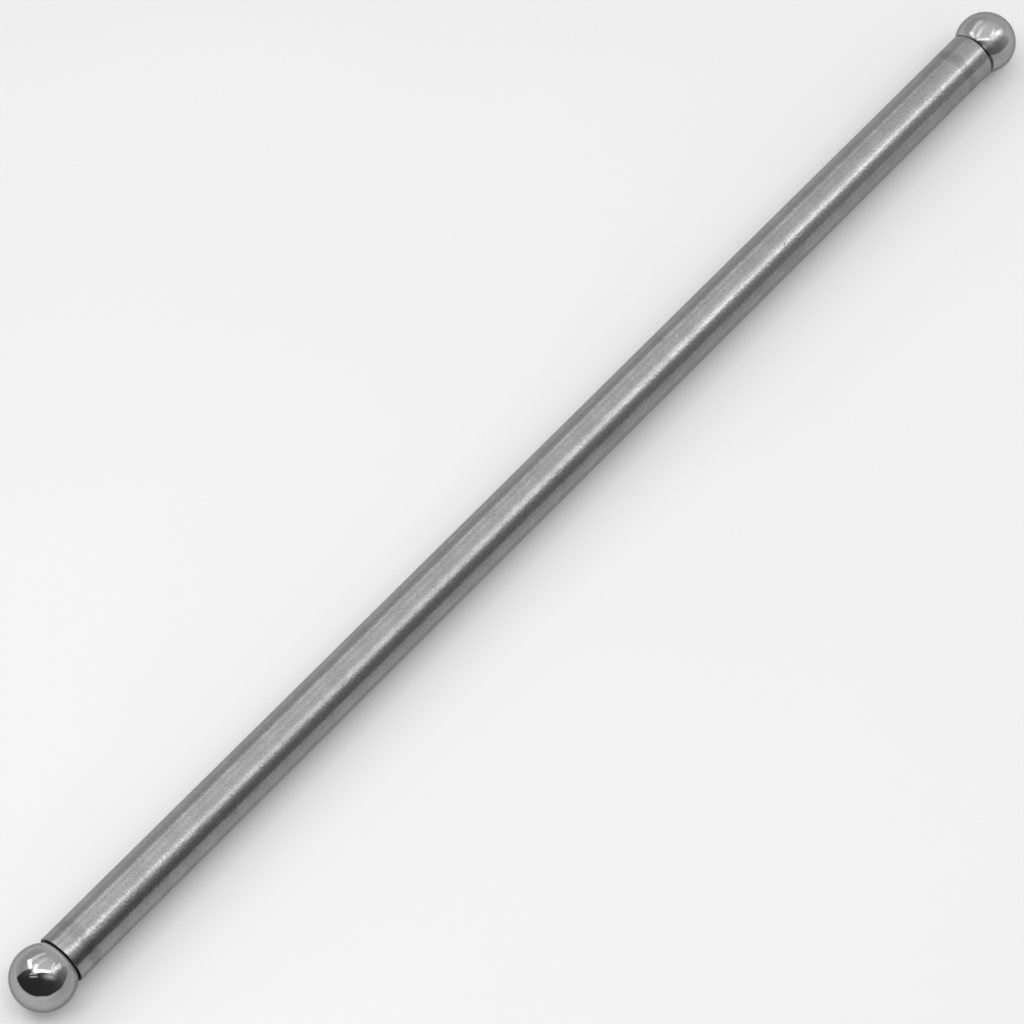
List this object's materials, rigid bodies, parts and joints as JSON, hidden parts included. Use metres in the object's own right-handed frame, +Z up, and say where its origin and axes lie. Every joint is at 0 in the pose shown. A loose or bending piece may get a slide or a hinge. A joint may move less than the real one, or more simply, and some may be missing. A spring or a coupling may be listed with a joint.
{
  "type": "engine pushrod",
  "caption": "Straight tubular steel pushrod with a hardened ball seated in each mouth, which carries a tappet's lift to a rocker arm.",
  "frame": {"origin": "centre of the tappet ball", "axes": "+X along the rod from the tappet ball to the rocker ball, +Z up with the rod lying level"},
  "size_m": [0.1842, 0.008, 0.008],
  "materials": {
    "drawn_steel": "satin",
    "polished_steel": "polished"
  },
  "bodies": {
    "root": {"tube": "drawn_steel", "tappet_ball": "polished_steel", "rocker_ball": "polished_steel"}
  },
  "joints": []
}
